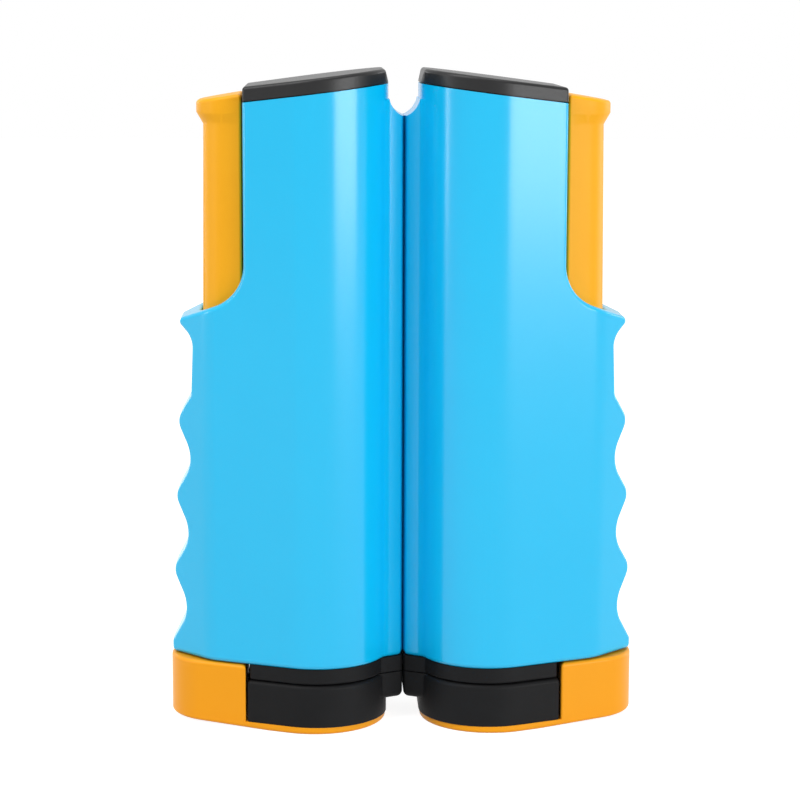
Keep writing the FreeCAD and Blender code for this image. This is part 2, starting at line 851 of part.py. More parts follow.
def jawArm(side):
    """Floor plate, outer block and stem in one moulding: the C that hangs from the handle."""
    piece = Piece(f"{side}_jaw_arm")
    # the outer end is round but for a short flat at its tip
    radius = (sideAt(blockEnd) - d.blockEndFlat) / tan((90.0 - d.sideAngle) / 2.0)
    end = (blockEnd, sideAt(blockEnd), radius)
    inner = d.barrelInner + d.floorNoseInset
    floor = bothSides([(inner, sideAt(inner), d.barrelRadius), end])
    piece.pad("floor", [floor], 0.0, d.floorThickness)
    block = bothSides([(blockFace, sideAt(blockFace), d.blockCorner), end])
    piece.pad("block", [block], 0.0, blockTop)
    slope = d.soleRise / d.soleLength
    far = blockEnd + past
    # the sole rises toward the outer end
    sole = [
        (soleStart, asSize(-past), 0.0),
        (far, asSize(-past), 0.0),
        (far, slope * (far - soleStart), 0.0),
        (soleStart, asSize(0.0), 0.0),
    ]
    piece.cut("sole", [sole], None, d.halfDepth * 3.0, "XZ_Plane")

    def lowEdge(edge):
        level = all(near(v.Z, max(0.0, slope.value * (v.X - soleStart.value))) for v in edge.Vertexes)
        return level and not near(middleOf(edge).x, soleStart)

    def highEdge(edge):
        return onLevel(edge, blockTop) and not near(middleOf(edge).x, blockFace)

    piece.roundEdges("floorRound", d.floorRound, lowEdge)
    piece.roundEdges("blockRound", d.blockRound, highEdge)
    stemTop = handleBottom + d.tenonLength
    root = blockTop - past
    piece.pad("stem", [(stemCentre, 0.0, d.stemRadius)], root, stemTop - root)
    bore = (stemCentre, 0.0, d.armScrewRadius + d.armScrewClearance)
    piece.cut("screwHole", [bore], -past, stemTop + 2.0 * past)
    recess = (stemCentre, 0.0, d.armScrewHeadRadius + d.stemClearance)
    piece.cut("headHole", [recess], -past, d.armScrewRecess + d.armScrewHeadHeight + past)
    return piece


def armScrew(side):
    """Long screw up through the stem into the handle."""
    piece = Piece(f"{side}_arm_screw")
    low = d.armScrewRecess
    shoulder = low + d.armScrewHeadHeight
    corners = [
        (asSize(0.0), low),
        (d.armScrewHeadRadius, low),
        (d.armScrewHeadRadius, shoulder),
        (d.armScrewRadius, shoulder),
        (d.armScrewRadius, armScrewTop - d.armScrewRadius),
        (d.armScrewTip, armScrewTop),
        (asSize(0.0), armScrewTop),
    ]
    piece.revolve("turned", [(x, z, 0.0) for x, z in corners], stemCentre)
    return piece


def handle(side):
    """Orange push bar with a flared top: it slides in the grip and carries the jaw arm."""
    piece = Piece(f"{side}_handle")
    inner = handleInner
    root = (inner, handleSide(inner), d.handleInnerRound)
    bar = bothSides([root, (handleReach, handleSide(handleReach), d.handleRound)])
    piece.pad("bar", [bar], handleBottom, draftBottom - handleBottom)
    slimReach = handleReach - d.handleDraft
    slim = bothSides([root, (slimReach, handleSide(slimReach), d.handleRound)])
    out = d.flangeOverhang
    rim = (handleReach + out, handleSide(handleReach) + out, d.handleRound + out)
    wide = bothSides([root, rim])
    neckBottom = flangeBottom - d.flangeNeck
    piece.loft("drafted", (bar, draftBottom), (slim, neckBottom))
    piece.loft("neck", (slim, neckBottom), (wide, flangeBottom))
    piece.pad("flange", [wide], flangeBottom, handleTop + past - flangeBottom)
    left, right = inner - beyond, handleReach + out + past
    slope = tan(d.handleTopAngle)
    peak = handleTop + slope * beyond
    over = [
        (left, peak, 0.0),
        (right, handleTop - slope * (right - inner), 0.0),
        (right, peak, 0.0),
    ]
    piece.cut("slantedTop", [over], None, d.halfDepth * 3.0, "XZ_Plane")

    def topEdge(edge):
        place = middleOf(edge)
        return near(place.z, handleTop - slope * (asSize(place.x) - inner), 0.02)

    piece.roundEdges("topRound", d.handleTopRound, topEdge)
    tenonHole = (stemCentre, 0.0, d.stemRadius + d.tenonFit)
    piece.cut("tenonHole", [tenonHole], handleBottom - past, d.tenonLength + past + d.seatGap)
    pilot = (stemCentre, 0.0, d.armScrewRadius + d.screwFit)
    piece.cut("screwHole", [pilot], handleBottom, armScrewTop + past - handleBottom)
    return piece


def returnSpring(side):
    """Compression spring round the stem, lofted through six-sided sections along its helix."""
    made = doc.addObject("Part::Feature", f"{side}_return_spring")
    made.Label = f"{side}_return_spring"
    wire = d.springWire.value
    low = ledgeTop.value + d.seatGap.value + wire
    high = handleBottom.value - d.seatGap.value - wire
    mean = d.springRadius.value - wire
    rise = (high - low) / (2.0 * math.pi * d.springTurns.value)
    sections = []
    for index in range(int(d.springTurns.value) * springSteps + 1):
        angle = 2.0 * math.pi * index / springSteps
        out = Vector(math.cos(angle), math.sin(angle), 0)
        along = Vector(-mean * out.y, mean * out.x, rise).normalize()
        middle = out * mean + Vector(stemCentre.value, 0, low + rise * angle)
        up = along.cross(out)
        turns = [2.0 * math.pi * corner / springSides for corner in range(springSides + 1)]
        corners = [middle + (out * math.cos(t) + up * math.sin(t)) * wire for t in turns]
        sections.append(Part.makePolygon(corners))
    made.Shape = Part.makeLoft(sections, True, True)
    return made


def ribbon(points, thickness):
    """A flat strip of even thickness along a line of points, as a loop."""
    at = [(asSize(x).value, asSize(y).value) for x, y in points]
    one, other = [], []
    for index, (x, y) in enumerate(points):
        before = unit(at[index - 1], at[index]) if index > 0 else unit(at[0], at[1])
        after = unit(at[index], at[index + 1]) if index + 1 < len(at) else before
        share = 1.0 + before[0] * after[0] + before[1] * after[1]
        kx = -(before[1] + after[1]) / share
        ky = (before[0] + after[0]) / share
        half = asSize(thickness) / 2.0
        one.append((asSize(x) - half * kx, asSize(y) - half * ky, 0.0))
        other.append((asSize(x) + half * kx, asSize(y) + half * ky, 0.0))
    return one + list(reversed(other))


def netPath():
    """From the right roll through both slots to the left roll; it leaves each roll at a tangent."""
    bendX = d.noseFace + d.wall + d.netBend
    reach = centreX - bendX
    clear = rollRadius + d.netClearance + d.tapeThickness / 2.0
    turn = math.asin(clear.value / reach.value)
    run = reach.value * math.cos(turn)
    endX = bendX + run * math.cos(turn)
    endY = asSize(-run * math.sin(turn))
    half = [(endX, endY), (bendX, asSize(0.0))]
    return half + [(-x, -y) for x, y in reversed(half)]


def netSpan():
    piece = Piece("net_span")
    low = netBottom + d.cordHeight + d.netClearance
    high = netTop - d.tapeHeight - d.netClearance
    piece.pad("strip", [ribbon(netPath(), d.netThickness)], low, high - low)
    return piece


def netTopTape():
    piece = Piece("net_top_tape")
    piece.pad("strip", [ribbon(netPath(), d.tapeThickness)], netTop - d.tapeHeight, d.tapeHeight)
    return piece


def netBottomCord():
    piece = Piece("net_bottom_cord")
    piece.pad("strip", [ribbon(netPath(), d.tapeThickness)], netBottom, d.cordHeight)
    return piece


halfTurn = FreeCAD.Placement(Vector(0, 0, 0), FreeCAD.Rotation(Vector(0, 0, 1), 180))
makers = [
    housing,
    topCap,
    basePlate,
    baseScrews,
    spoolAxle,
    spool,
    springCover,
    clockSpring,
    netRoll,
    upperJawPad,
    handle,
    jawArm,
    armScrew,
    jawPad,
    returnSpring,
]
subParts = []
for side in ("right", "left"):
    for maker in makers:
        made = maker(side)
        subParts.append((made.body if isinstance(made, Piece) else made, side))
for maker in (netSpan, netTopTape, netBottomCord):
    subParts.append((maker().body, "middle"))
doc.recompute()

# The left post is the right one turned half round
for part, side in subParts:
    if side == "left":
        part.Placement = halfTurn.multiply(part.Placement)
doc.recompute()

for made in doc.Objects:
    if "Invalid" in made.State or "Error" in made.State:
        raise ValueError(f"{made.Name} failed: {made.State}")
os.makedirs("parts", exist_ok=True)
for part, side in subParts:
    shape = part.Shape
    if shape.isNull() or not shape.isValid() or shape.Volume <= 0.0:
        raise ValueError(f"{part.Label} has no valid shape")
    if part.TypeId == "PartDesign::Body" and len(shape.Solids) != 1:
        raise ValueError(f"{part.Label} fell into {len(shape.Solids)} solids")
    shape.exportStep(f"parts/{part.Label}.step")
    print(f"{part.Label:24s} {len(shape.Solids)} solid(s) {shape.Volume:9.1f} mm3")
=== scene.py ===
import bmesh
import bpy
import json
import math
from mathutils import Matrix, Vector


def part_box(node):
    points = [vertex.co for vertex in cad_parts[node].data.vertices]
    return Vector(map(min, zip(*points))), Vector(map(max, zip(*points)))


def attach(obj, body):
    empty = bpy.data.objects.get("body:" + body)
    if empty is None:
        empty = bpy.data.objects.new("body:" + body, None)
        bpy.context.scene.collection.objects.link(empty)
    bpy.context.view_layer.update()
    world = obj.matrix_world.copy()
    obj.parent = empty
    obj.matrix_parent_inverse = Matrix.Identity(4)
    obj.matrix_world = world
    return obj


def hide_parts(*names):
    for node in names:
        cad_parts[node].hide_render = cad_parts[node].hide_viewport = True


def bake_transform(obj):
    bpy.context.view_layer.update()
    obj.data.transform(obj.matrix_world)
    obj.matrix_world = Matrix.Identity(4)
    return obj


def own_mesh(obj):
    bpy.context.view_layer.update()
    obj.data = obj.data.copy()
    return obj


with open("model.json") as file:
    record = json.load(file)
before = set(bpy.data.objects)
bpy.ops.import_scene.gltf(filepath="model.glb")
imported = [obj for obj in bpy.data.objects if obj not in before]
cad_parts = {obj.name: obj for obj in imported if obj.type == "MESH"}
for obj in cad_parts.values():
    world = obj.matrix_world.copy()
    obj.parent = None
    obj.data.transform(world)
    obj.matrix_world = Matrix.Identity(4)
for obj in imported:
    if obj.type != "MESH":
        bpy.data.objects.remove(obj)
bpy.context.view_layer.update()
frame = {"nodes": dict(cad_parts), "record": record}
posts = ("left", "right")
bodyOf = {node: body for body, nodes in frame["record"]["behaviour"]["bodies"].items() for node in nodes}
print("frame loaded")


def placed(name, data):
    holder = bpy.data.objects.new(name, data)
    bpy.context.scene.collection.objects.link(holder)
    return holder


cameraView = {
    "distance": 0.640,
    "azimuth": -2.05,  # degrees, to the left of the front
    "aimHeight": 0.0859,
    "pitch": 9.2,
    "roll": 0.19,
    "lens": 107.1,
    "shift": -0.0030,
    "clipStart": 0.01,
}
turn, pitch, roll = (math.radians(cameraView[key]) for key in ("azimuth", "pitch", "roll"))
camera = placed("camera", bpy.data.cameras.new("camera"))
camera.data.lens = cameraView["lens"]
camera.data.shift_x = cameraView["shift"]
camera.data.clip_start = cameraView["clipStart"]
reach = cameraView["distance"] * math.cos(pitch)
camera.location = (
    reach * math.sin(turn),
    -reach * math.cos(turn),
    cameraView["aimHeight"] + cameraView["distance"] * math.sin(pitch),
)
aim = (Matrix.Rotation(turn, 3, "Z") @ Matrix.Rotation(math.pi / 2.0 - pitch, 3, "X")
       @ Matrix.Rotation(roll, 3, "Z"))
camera.rotation_euler = aim.to_euler()
bpy.context.scene.camera = camera
bpy.context.scene.view_settings.view_transform = "Standard"

# azimuth counts from the front, to the right; height is of the lamp's middle
softboxes = {
    "rightStrip": {"azimuth": 46.5, "distance": 1.25, "height": 0.25, "aim": 0.25,
                   "width": 0.84, "tall": 0.44, "power": 9.4},
    "leftStrip": {"azimuth": -80.0, "distance": 1.25, "height": 0.29, "aim": 0.29,
                  "width": 0.28, "tall": 0.50, "power": 2.6},
    "leftHigh": {"azimuth": -58.0, "distance": 0.85, "height": 1.1, "aim": 0.08,
                 "width": 0.8, "tall": 0.8, "power": 9.0},
    "rightBack": {"azimuth": 122.0, "distance": 1.25, "height": 0.25, "aim": 0.12,
                  "width": 0.22, "tall": 0.6, "power": 2.6},
    "leftBack": {"azimuth": -138.0, "distance": 1.25, "height": 0.25, "aim": 0.12,
                 "width": 0.14, "tall": 0.6, "power": 1.2},
    "top": {"azimuth": 0.0, "distance": 0.12, "height": 1.1, "aim": 0.08,
            "width": 0.7, "tall": 0.22, "power": 2.5},
}
for name, box in softboxes.items():
    lamp = bpy.data.lights.new(name, "AREA")
    lamp.shape = "RECTANGLE"
    lamp.size = box["width"]
    lamp.size_y = box["tall"]
    lamp.energy = box["power"]
    holder = placed(name, lamp)
    holder.visible_camera = False
    azimuth = math.radians(box["azimuth"])
    holder.location = (
        box["distance"] * math.sin(azimuth),
        -box["distance"] * math.cos(azimuth),
        box["height"],
    )
    target = Vector((0.0, 0.0, box["aim"]))
    holder.rotation_euler = (target - holder.location).to_track_quat("-Z", "Y").to_euler()


def newTree(owner):
    owner.use_nodes = True
    tree = owner.node_tree
    tree.nodes.clear()
    return tree


def node(tree, kind, inputs=None, **settings):
    made = tree.nodes.new(kind)
    for key, value in settings.items():
        setattr(made, key, value)
    for key, value in (inputs or {}).items():
        if isinstance(value, bpy.types.NodeSocket):
            tree.links.new(value, made.inputs[key])
        else:
            made.inputs[key].default_value = value
    return made


def reckon(tree, operation, *values):
    return node(tree, "ShaderNodeMath", dict(enumerate(values)), operation=operation).outputs[0]


def ranged(tree, value, given, read=(0.0, 1.0)):
    return node(tree, "ShaderNodeMapRange", {
        0: value, 1: read[0], 2: read[1], 3: given[0], 4: given[1]}).outputs[0]


def seenRay(tree):  # what the camera, metal and glass see
    path = node(tree, "ShaderNodeLightPath").outputs
    either = reckon(tree, "MAXIMUM", path["Is Camera Ray"], path["Is Glossy Ray"])
    return reckon(tree, "MAXIMUM", either, path["Is Transmission Ray"])


worldLight = {"ambient": 0.40, "seen": 1.0}
world = bpy.data.worlds.new("studio")
bpy.context.scene.world = world
tree = newTree(world)
level = ranged(tree, seenRay(tree), (worldLight["ambient"], worldLight["seen"]))
sky = node(tree, "ShaderNodeBackground", {"Color": (1, 1, 1, 1), "Strength": level})
node(tree, "ShaderNodeOutputWorld", {"Surface": sky.outputs[0]})

floorSet = {"reach": 3.0, "albedo": 0.5, "glow": 0.9, "drop": 0.00004}
mesh = bpy.data.meshes.new("floor")
r, z = floorSet["reach"], -floorSet["drop"]
mesh.from_pydata([(-r, -r, z), (r, -r, z), (r, r, z), (-r, r, z)], [], [(0, 1, 2, 3)])
floor = placed("floor", mesh)
floorPaint = bpy.data.materials.new("floorPaint")
tree = newTree(floorPaint)
matte = node(tree, "ShaderNodeBsdfDiffuse", {"Color": (floorSet["albedo"],) * 3 + (1,)})
shine = reckon(tree, "MULTIPLY", seenRay(tree), floorSet["glow"])
glow = node(tree, "ShaderNodeEmission", {"Strength": shine})
both = node(tree, "ShaderNodeAddShader", {0: matte.outputs[0], 1: glow.outputs[0]})
node(tree, "ShaderNodeOutputMaterial", {"Surface": both.outputs[0]})
floor.data.materials.append(floorPaint)
print("camera, lights and floor set")


def newPaint(name):
    paint = bpy.data.materials.new(name)
    tree = newTree(paint)
    return paint, tree, node(tree, "ShaderNodeTexCoord").outputs["Object"]


def noise(tree, place, scale, detail, roughness=0.5):
    return node(tree, "ShaderNodeTexNoise", {
        "Vector": place, "Scale": scale, "Detail": detail, "Roughness": roughness}).outputs["Fac"]


def blended(tree, factor, one, other):
    return node(tree, "ShaderNodeMix", {"Factor": factor, 6: one, 7: other}, data_type="RGBA").outputs[2]


def twoTone(tree, factor, look):
    return blended(tree, factor, look["deep"] + (1,), look["colour"] + (1,))


def bumped(tree, strength, depth, height):
    return node(tree, "ShaderNodeBump", {
        "Strength": strength, "Distance": depth, "Height": height}).outputs[0]


def surfaced(tree, inputs):
    skin = node(tree, "ShaderNodeBsdfPrincipled", inputs)
    node(tree, "ShaderNodeOutputMaterial", {"Surface": skin.outputs[0]})


plastics = {
    "shellBlue": {"colour": (0.003, 0.515, 0.865), "deep": (0.002, 0.495, 0.845), "rough": 0.20,
                  "specular": 0.48, "grain": 2600.0, "depth": 0.000003, "patch": 55.0, "spread": 0.015},
    "capBlack": {"colour": (0.014, 0.014, 0.0145), "deep": (0.009, 0.009, 0.0095), "rough": 0.36,
                 "specular": 0.30, "grain": 1900.0, "depth": 0.00003, "patch": 90.0},
    "innerBlack": {"colour": (0.016, 0.016, 0.017), "deep": (0.011, 0.011, 0.012), "rough": 0.5,
                   "specular": 0.20, "grain": 1500.0, "depth": 0.00002, "patch": 60.0},
    "spoolGrey": {"colour": (0.300, 0.305, 0.315), "deep": (0.260, 0.265, 0.275), "rough": 0.42,
                  "specular": 0.35, "grain": 1700.0, "depth": 0.00002, "patch": 60.0},
    "handleOrange": {"colour": (0.940, 0.430, 0.010), "deep": (0.910, 0.400, 0.007), "rough": 0.45,
                     "specular": 0.20, "grain": 2100.0, "depth": 0.00003, "patch": 70.0},
    "armOrange": {"colour": (0.930, 0.370, 0.009), "deep": (0.900, 0.345, 0.007), "rough": 0.38,
                  "specular": 0.20, "grain": 2400.0, "depth": 0.00002, "patch": 60.0},
    "padRubber": {"colour": (0.011, 0.011, 0.0115), "deep": (0.007, 0.007, 0.0075), "rough": 0.52,
                  "specular": 0.10, "grain": 1400.0, "depth": 0.00004, "patch": 120.0},
}
plasticSkin = {"patchDetail": 3.0, "patchRough": 0.6, "grainDetail": 2.0, "grainRough": 0.55,
               "read": (0.25, 0.75), "spread": 0.05, "bump": 0.6}


def plastic(name, look):
    paint, tree, place = newPaint(name)
    spread = look.get("spread", plasticSkin["spread"])
    patch = noise(tree, place, look["patch"], plasticSkin["patchDetail"], plasticSkin["patchRough"])
    grain = noise(tree, place, look["grain"], plasticSkin["grainDetail"], plasticSkin["grainRough"])
    given = (look["rough"] - spread, look["rough"] + spread)
    surfaced(tree, {
        "Base Color": twoTone(tree, patch, look),
        "Roughness": ranged(tree, grain, given, plasticSkin["read"]),
        "Normal": bumped(tree, plasticSkin["bump"], look["depth"], grain),
        "Specular IOR Level": look["specular"]})
    return paint


metals = {
    "zincSteel": {"colour": (0.60, 0.60, 0.58), "deep": (0.46, 0.46, 0.45),
                  "rough": 0.30, "streak": 900.0},
    "springSteel": {"colour": (0.34, 0.34, 0.36), "deep": (0.22, 0.22, 0.25),
                    "rough": 0.26, "streak": 1500.0},
}
metalSkin = {"drawn": (1.0, 1.0, 0.15),  # streaks run upright
             "detail": 4.0, "read": (0.3, 0.7), "smoother": 0.08, "rougher": 0.10, "bump": 0.4,
             "depth": 0.00001}


def metal(name, look):
    paint, tree, place = newPaint(name)
    drawn = node(tree, "ShaderNodeMapping", {"Vector": place, "Scale": metalSkin["drawn"]})
    streak = noise(tree, drawn.outputs[0], look["streak"], metalSkin["detail"])
    given = (look["rough"] - metalSkin["smoother"], look["rough"] + metalSkin["rougher"])
    surfaced(tree, {
        "Base Color": twoTone(tree, streak, look),
        "Roughness": ranged(tree, streak, given, metalSkin["read"]),
        "Normal": bumped(tree, metalSkin["bump"], metalSkin["depth"], streak),
        "Metallic": 1.0})
    return paint


cloths = {
    "netTwine": {"colour": (0.012, 0.020, 0.026), "deep": (0.006, 0.010, 0.014),
                 "weave": 500.0, "depth": 0.00005},
    "tapeCotton": {"colour": (0.780, 0.775, 0.745), "deep": (0.640, 0.635, 0.600),
                   "weave": 560.0, "depth": 0.00008},
    "hemCotton": {"colour": (0.020, 0.021, 0.024), "deep": (0.010, 0.011, 0.013),
                  "weave": 560.0, "depth": 0.00008},
}
clothSkin = {"fuzz": 4.0, "fuzzDetail": 2.0, "rough": (0.75, 0.95), "bump": 0.7, "sheen": 0.12}


def cloth(name, look, bands=()):
    paint, tree, place = newPaint(name)
    warp, weft = (node(tree, "ShaderNodeTexWave", {"Vector": place, "Scale": look["weave"]},
                       bands_direction=way).outputs["Fac"] for way in ("X", "Z"))
    weave = reckon(tree, "MULTIPLY", warp, weft)
    shade = twoTone(tree, weave, look)
    height = node(tree, "ShaderNodeSeparateXYZ", {0: place}).outputs[2]
    for edge, above, tint in bands:  # a differently coloured band above or below a height
        inside = reckon(tree, "GREATER_THAN" if above else "LESS_THAN", height, edge)
        shade = blended(tree, inside, shade, tint + (1,))
    fuzz = noise(tree, place, clothSkin["fuzz"] * look["weave"], clothSkin["fuzzDetail"])
    surfaced(tree, {
        "Base Color": shade,
        "Roughness": ranged(tree, fuzz, clothSkin["rough"]),
        "Normal": bumped(tree, clothSkin["bump"], look["depth"], weave),
        "Sheen Weight": clothSkin["sheen"]})
    return paint


paints = {name: plastic(name, look) for name, look in plastics.items()}
paints.update({name: metal(name, look) for name, look in metals.items()})
paints.update({name: cloth(name, look) for name, look in cloths.items()})
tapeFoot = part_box("net_top_tape")[0][2]
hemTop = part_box("net_bottom_cord")[1][2]
paints["netWound"] = cloth("netWound", cloths["netTwine"], (
    (tapeFoot, True, cloths["tapeCotton"]["colour"]), (hemTop, False, cloths["hemCotton"]["colour"])))
print("finishes made")

finishOf = {
    "housing": "shellBlue", "top_cap": "capBlack", "base_plate": "innerBlack", "base_screws": "zincSteel",
    "spool_axle": "zincSteel", "spool": "spoolGrey", "spring_cover": "spoolGrey",
    "clock_spring": "springSteel", "net_roll": "netWound", "upper_jaw_pad": "padRubber",
    "handle": "handleOrange", "jaw_arm": "armOrange", "arm_screw": "zincSteel", "jaw_pad": "padRubber",
    "return_spring": "springSteel",
}
softEdges = {  # how far the visible pieces' sharp edges are rounded
    "housing": 0.00030, "top_cap": 0.00030, "upper_jaw_pad": 0.00025, "handle": 0.00025,
    "jaw_arm": 0.00030, "jaw_pad": 0.00035,
}

# the noses come to 0.06 mm inside, and part in a narrow v at the front and the back
noseSet = {"deep": 0.0065, "mouth": 0.00036, "shut": 0.00012, "end": 0.0042, "inner": 0.0002,
           "runIn": 0.0015, "near": 1e-5, "snap": 1e-7}


def shapeNose(made):
    deep, end, near = noseSet["deep"], noseSet["end"], noseSet["near"]
    for y in (-deep, deep):
        bmesh.ops.bisect_plane(made, geom=made.verts[:] + made.edges[:] + made.faces[:],
                               dist=noseSet["snap"], plane_co=(0.0, y, 0.0), plane_no=(0.0, 1.0, 0.0))
    for vertex in made.verts:
        x, y = vertex.co.x, vertex.co.y
        if abs(x) < noseSet["inner"] and abs(y) < deep + near:
            vertex.co.x -= math.copysign(noseSet["shut"], x)
        elif abs(x) < end and abs(y) > deep + near:
            ramp = min(1.0, (abs(y) - deep) / noseSet["runIn"])
            vertex.co.x += math.copysign(noseSet["mouth"] * (1.0 - abs(x) / end) * ramp, x)


seamSet = {"gap": 0.00030, "facing": -0.9, "near": 2e-5}


def openSeam(made):  # a narrow joint is left below the cap
    under = max((face for face in made.faces if face.normal.z < seamSet["facing"]),
                key=lambda face: face.calc_area())
    spot, facing = under.verts[0].co.copy(), under.normal.copy()
    for vertex in [v for v in made.verts if abs((v.co - spot).dot(facing)) < seamSet["near"]]:
        vertex.co.z += seamSet["gap"]


crownSet = {"above": 0.1645, "rounding": 0.00055, "shortest": 0.0012}  # the shell's edge below the cap
dressSet = {"weld": 1e-6, "flat": 0.5, "sharp": 32.0, "roundings": 2.0, "segments": 2, "profile": 0.5,
            "weight": 80}


def dressed(name, finish, rounding):
    mesh = frame["nodes"][name].data.copy()
    piece = placed(f"{name}_skin", mesh)
    made = bmesh.new()
    made.from_mesh(mesh)
    bmesh.ops.remove_doubles(made, verts=made.verts, dist=dressSet["weld"])
    bmesh.ops.dissolve_limit(made, angle_limit=math.radians(dressSet["flat"]), verts=made.verts,
                             edges=made.edges)
    if name.endswith("housing"):
        shapeNose(made)
    if name.endswith("top_cap"):
        openSeam(made)
    limit = math.radians(dressSet["sharp"])
    sharp = [edge for edge in made.edges if len(edge.link_faces) == 2
             and edge.calc_face_angle(0.0) > limit and edge.calc_length() > dressSet["roundings"] * rounding]
    crown = [edge for edge in sharp if name.endswith("housing") and edge.calc_length() > crownSet["shortest"]
             and min(v.co.z for v in edge.verts) > crownSet["above"]]
    for edges, width in ((crown, crownSet["rounding"]), (sharp, rounding)):
        edges = [edge for edge in edges if edge.is_valid]
        if edges:
            bmesh.ops.bevel(made, geom=edges, offset=width, offset_type="OFFSET", affect="EDGES",
                            segments=dressSet["segments"], profile=dressSet["profile"], clamp_overlap=True)
    for edge in made.edges:
        edge.smooth = len(edge.link_faces) == 2 and edge.calc_face_angle(0.0) < limit
    for face in made.faces:
        face.smooth = True
    made.to_mesh(mesh)
    made.free()
    if "custom_normal" in mesh.attributes:
        mesh.attributes.remove(mesh.attributes["custom_normal"])
    mesh.materials.clear()
    mesh.materials.append(paints[finish])
    weigh = piece.modifiers.new("weigh", "WEIGHTED_NORMAL")
    weigh.keep_sharp = True
    weigh.weight = dressSet["weight"]
    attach(piece, bodyOf[name])
    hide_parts(name)


for side in posts:
    for kind, rounding in softEdges.items():
        dressed(f"{side}_{kind}", finishOf[kind], rounding)
for name, part in frame["nodes"].items():
    kind = name.split("_", 1)[1]
    part.data.materials.clear()
    part.data.materials.append(paints[finishOf.get(kind, "innerBlack")])
print("pieces dressed")


def newRecipe(name, inputs):
    tree = bpy.data.node_groups.new(name, "GeometryNodeTree")
    tree.interface.new_socket("Geometry", in_out="OUTPUT", socket_type="NodeSocketGeometry")
    for label, kind in inputs.items():
        tree.interface.new_socket(label, in_out="INPUT", socket_type=f"NodeSocket{kind}")
    return tree, tree.nodes.new("NodeGroupInput").outputs


def closeRecipe(tree, geometry):
    real = node(tree, "GeometryNodeRealizeInstances", {0: geometry})
    smooth = node(tree, "GeometryNodeSetShadeSmooth", {0: real.outputs[0]})
    finish = tree.nodes["Group Input"].outputs["Finish"]
    painted = node(tree, "GeometryNodeSetMaterial", {0: smooth.outputs[0], "Material": finish})
    node(tree, "NodeGroupOutput", {0: painted.outputs[0]})


def grown(name, tree, sizes):
    holder = placed(name, bpy.data.meshes.new(name))
    recipe = holder.modifiers.new("recipe", "NODES")
    recipe.node_group = tree
    for socket in tree.interface.items_tree:
        if socket.in_out == "INPUT":
            recipe[socket.identifier] = sizes[socket.name]
    ready = holder.evaluated_get(bpy.context.evaluated_depsgraph_get())
    holder.data = bpy.data.meshes.new_from_object(ready)
    holder.modifiers.remove(recipe)
    return holder


def times(tree, a, b):
    return reckon(tree, "MULTIPLY", a, b)


def span(tree, x, y, z):
    return node(tree, "ShaderNodeCombineXYZ", {0: x, 1: y, 2: z}).outputs[0]


def ringOf(tree, sides, radius):
    return node(tree, "GeometryNodeCurvePrimitiveCircle", {"Resolution": sides, "Radius": radius}).outputs[0]


def swept(tree, curve, profile):
    return node(tree, "GeometryNodeCurveToMesh", {
        "Curve": curve, "Profile Curve": profile, "Fill Caps": True}).outputs[0]


def stood(tree, geometry, foot):
    return node(tree, "GeometryNodeTransform", {"Geometry": geometry, "Translation": foot}).outputs[0]


# return springs: the coils lie closer at both ends
coilSet = {"turns": 11.0, "wire": 0.0006, "closing": 0.72, "travel": 0.045, "spare": 0.0003,
           "steps": 20, "sides": 8}
coilTree, sizes = newRecipe("coilRecipe", {
    "Turns": "Float", "Radius": "Float", "Wire": "Float", "Height": "Float", "Closing": "Float",
    "Foot": "Vector", "Finish": "Material"})
helix = node(coilTree, "GeometryNodeCurveSpiral", {
    "Resolution": coilSet["steps"], "Rotations": sizes["Turns"], "Start Radius": sizes["Radius"],
    "End Radius": sizes["Radius"], "Height": sizes["Height"]})
place = node(coilTree, "ShaderNodeSeparateXYZ", {0: node(coilTree, "GeometryNodeInputPosition").outputs[0]})
share = reckon(coilTree, "DIVIDE", place.outputs[2], sizes["Height"])
wave = reckon(coilTree, "SINE", times(coilTree, share, 2.0 * math.pi))
swing = times(coilTree, times(coilTree, wave, sizes["Closing"]),
              times(coilTree, sizes["Height"], -0.5 / math.pi))
eased = node(coilTree, "GeometryNodeSetPosition", {
    "Geometry": helix.outputs[0], "Offset": span(coilTree, 0.0, 0.0, swing)})
wire = swept(coilTree, eased.outputs[0], ringOf(coilTree, coilSet["sides"], sizes["Wire"]))
closeRecipe(coilTree, stood(coilTree, wire, sizes["Foot"]))
for side in posts:
    low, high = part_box(f"{side}_return_spring")
    wireRadius = coilSet["wire"]
    # here the height that the top of the coil may not go below
    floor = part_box(f"{side}_handle")[0][2] - coilSet["travel"] - coilSet["spare"]
    coil = grown(f"{side}_return_coil", coilTree, {
        "Turns": coilSet["turns"], "Radius": (high[1] - low[1]) / 2.0 - wireRadius, "Wire": wireRadius,
        "Height": high[2] - low[2] - 2.0 * wireRadius, "Closing": coilSet["closing"],
        "Foot": ((low[0] + high[0]) / 2.0, 0.0, low[2] + wireRadius), "Finish": paints["springSteel"]})
    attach(coil, bodyOf[f"{side}_return_spring"])
    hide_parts(f"{side}_return_spring")
    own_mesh(coil)
print("return springs wound")

